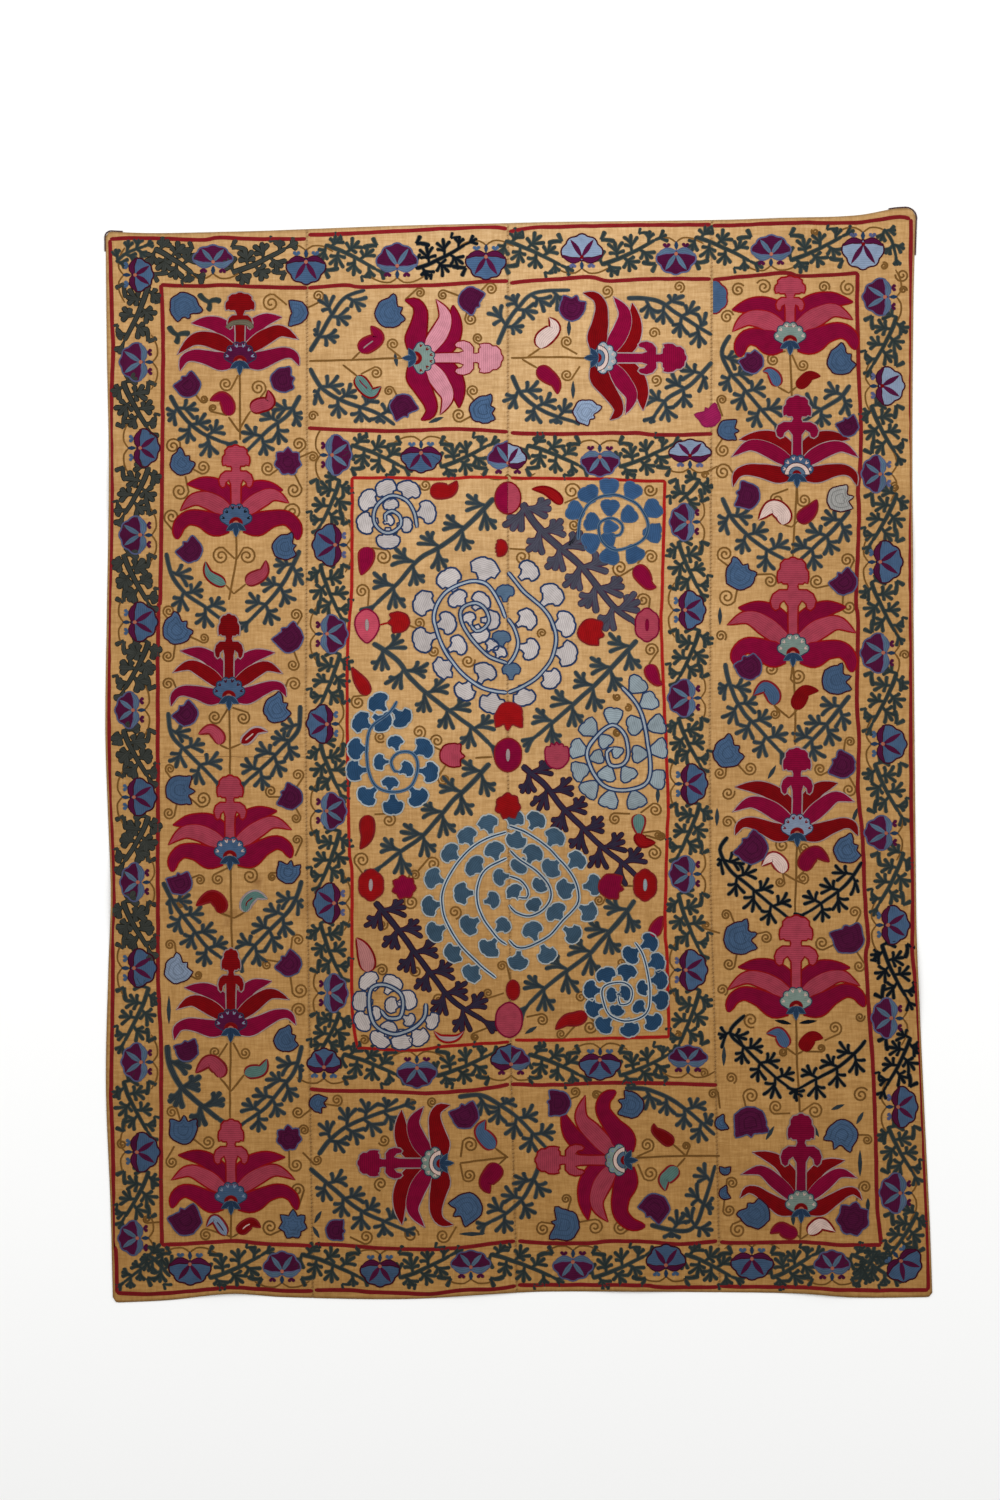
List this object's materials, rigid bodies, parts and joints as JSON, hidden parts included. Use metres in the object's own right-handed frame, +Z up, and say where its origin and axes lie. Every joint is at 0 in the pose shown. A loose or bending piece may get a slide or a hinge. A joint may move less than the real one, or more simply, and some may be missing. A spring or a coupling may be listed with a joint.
{
  "type": "embroidered textile",
  "caption": "Large flat cotton cloth of joined loom-width strips, embroidered all over with chain-stitch flowers and borders, with remnants of edging braid at two corners.",
  "frame": {"origin": "on the floor under the middle of the cloth's box", "axes": "+Z up out of the cloth's face, +Y towards the cloth's top edge as pictured, +X to the right"},
  "size_m": [1.7556, 2.3232, 0.0073],
  "materials": {
    "ochre_cotton": "hand-loomed plain weave with silk chain stitch",
    "dark_braid": "dark maroon woven braid"
  },
  "bodies": {
    "root": {"panel_left": "ochre_cotton", "panel_centre_left": "ochre_cotton", "panel_centre_right": "ochre_cotton", "panel_right": "ochre_cotton", "edging_top_left": "dark_braid", "edging_top_right": "dark_braid"}
  },
  "joints": []
}
